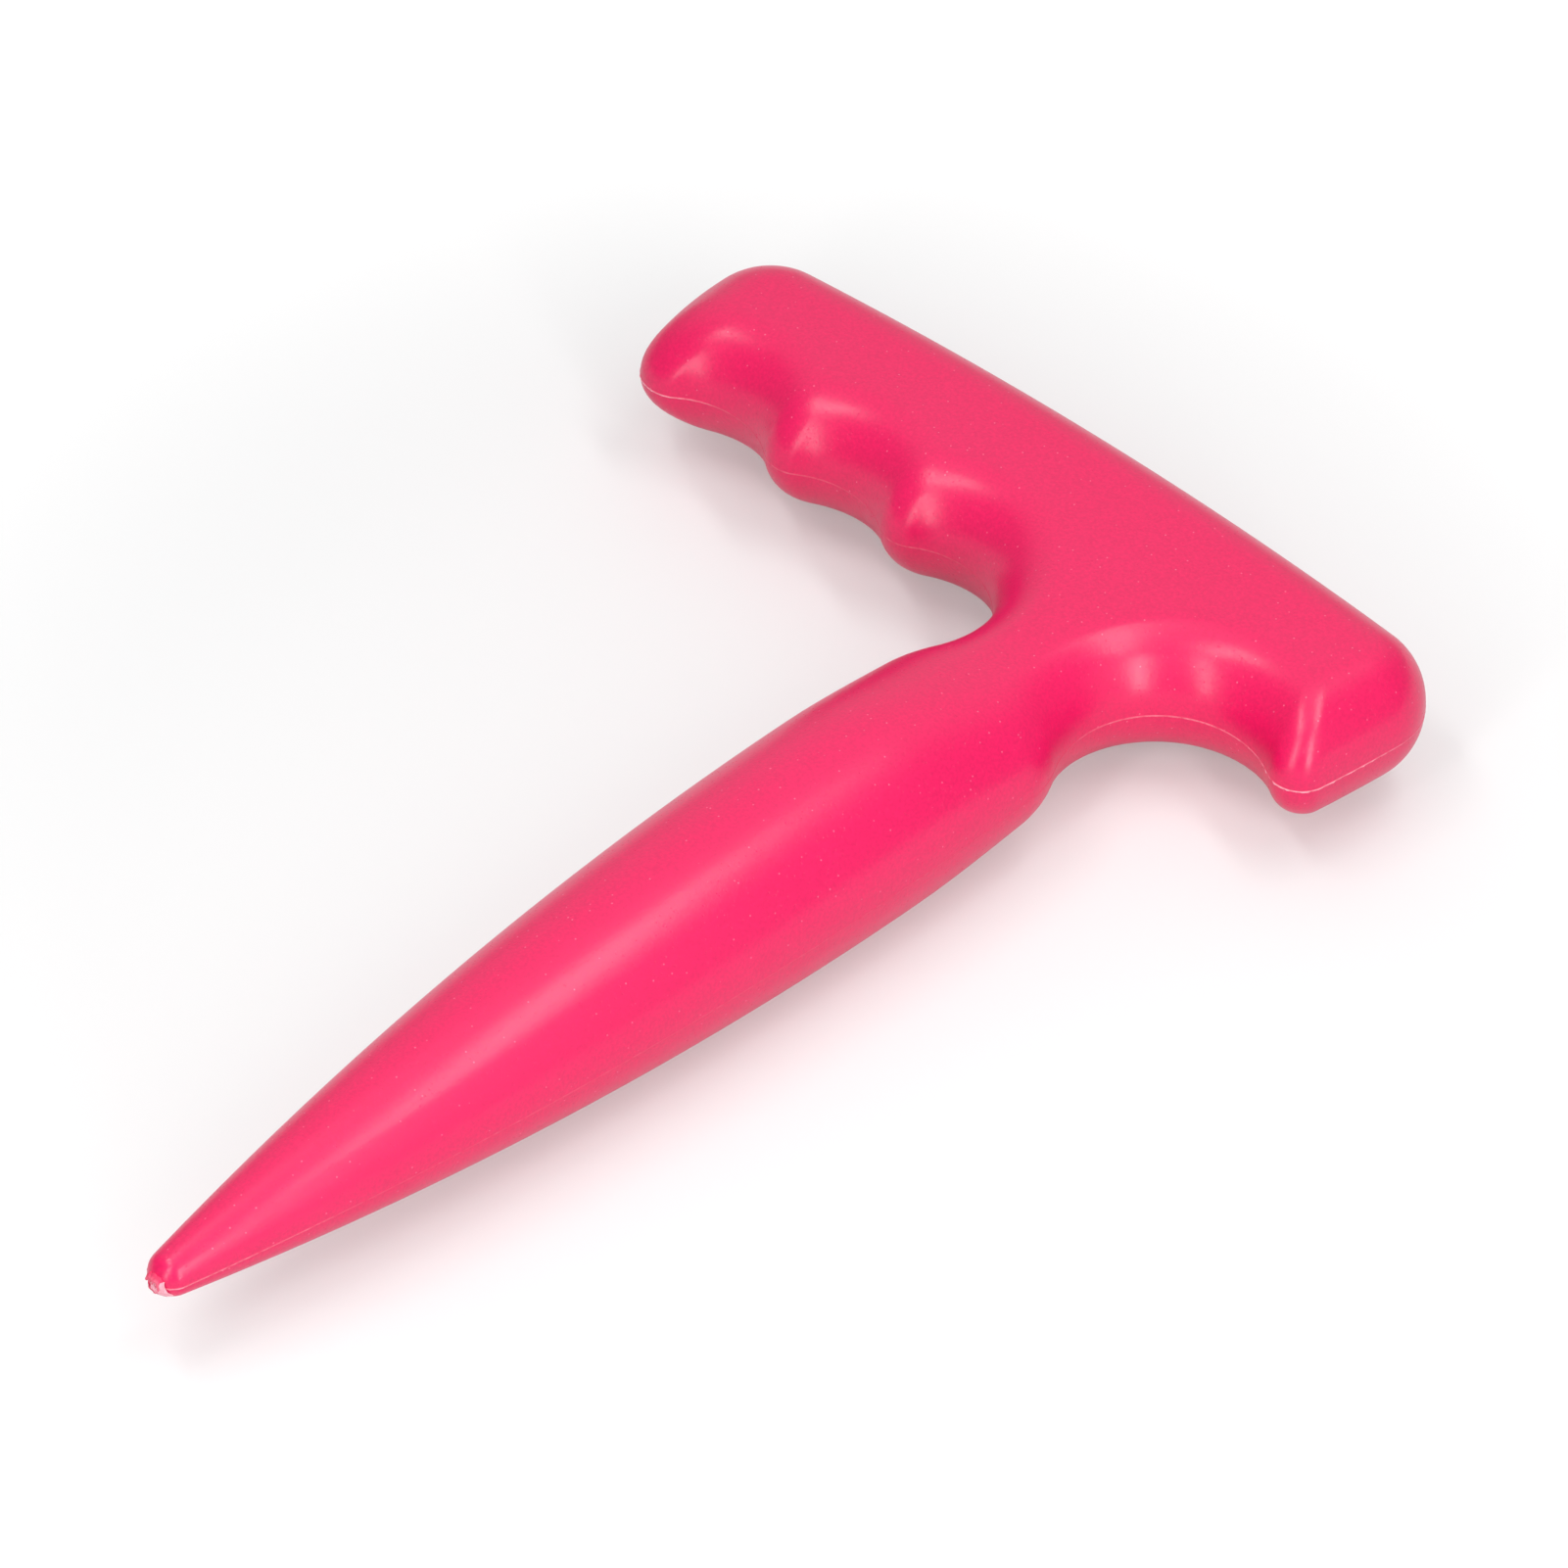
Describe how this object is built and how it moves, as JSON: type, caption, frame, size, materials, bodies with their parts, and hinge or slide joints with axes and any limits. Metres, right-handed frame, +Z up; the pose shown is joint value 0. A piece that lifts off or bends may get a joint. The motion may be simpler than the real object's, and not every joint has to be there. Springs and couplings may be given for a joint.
{
  "type": "seedling hole puncher",
  "caption": "Hollow plastic dibber with a T-handle, finger grooves under both arms and a tapering pointed shaft, pressed into soil to make planting holes.",
  "frame": {"origin": "bottom centre of the bounding box as the tool lies on its side", "axes": "+Y up the shaft from the point to the palm edge, +X along the handle from its three-finger arm to its one-finger arm, +Z up, across the mould's parting plane"},
  "size_m": [0.1616, 0.2502, 0.0363],
  "materials": {
    "pink_plastic": "satin, fine-grained from a blasted mould",
    "seam_plastic": "trimmed flash and torn plastic, paler where it was stretched"
  },
  "bodies": {
    "root": {"upper_shell": "pink_plastic", "lower_shell": "pink_plastic", "parting_seam": "seam_plastic", "tip_tail": "seam_plastic"}
  },
  "joints": []
}
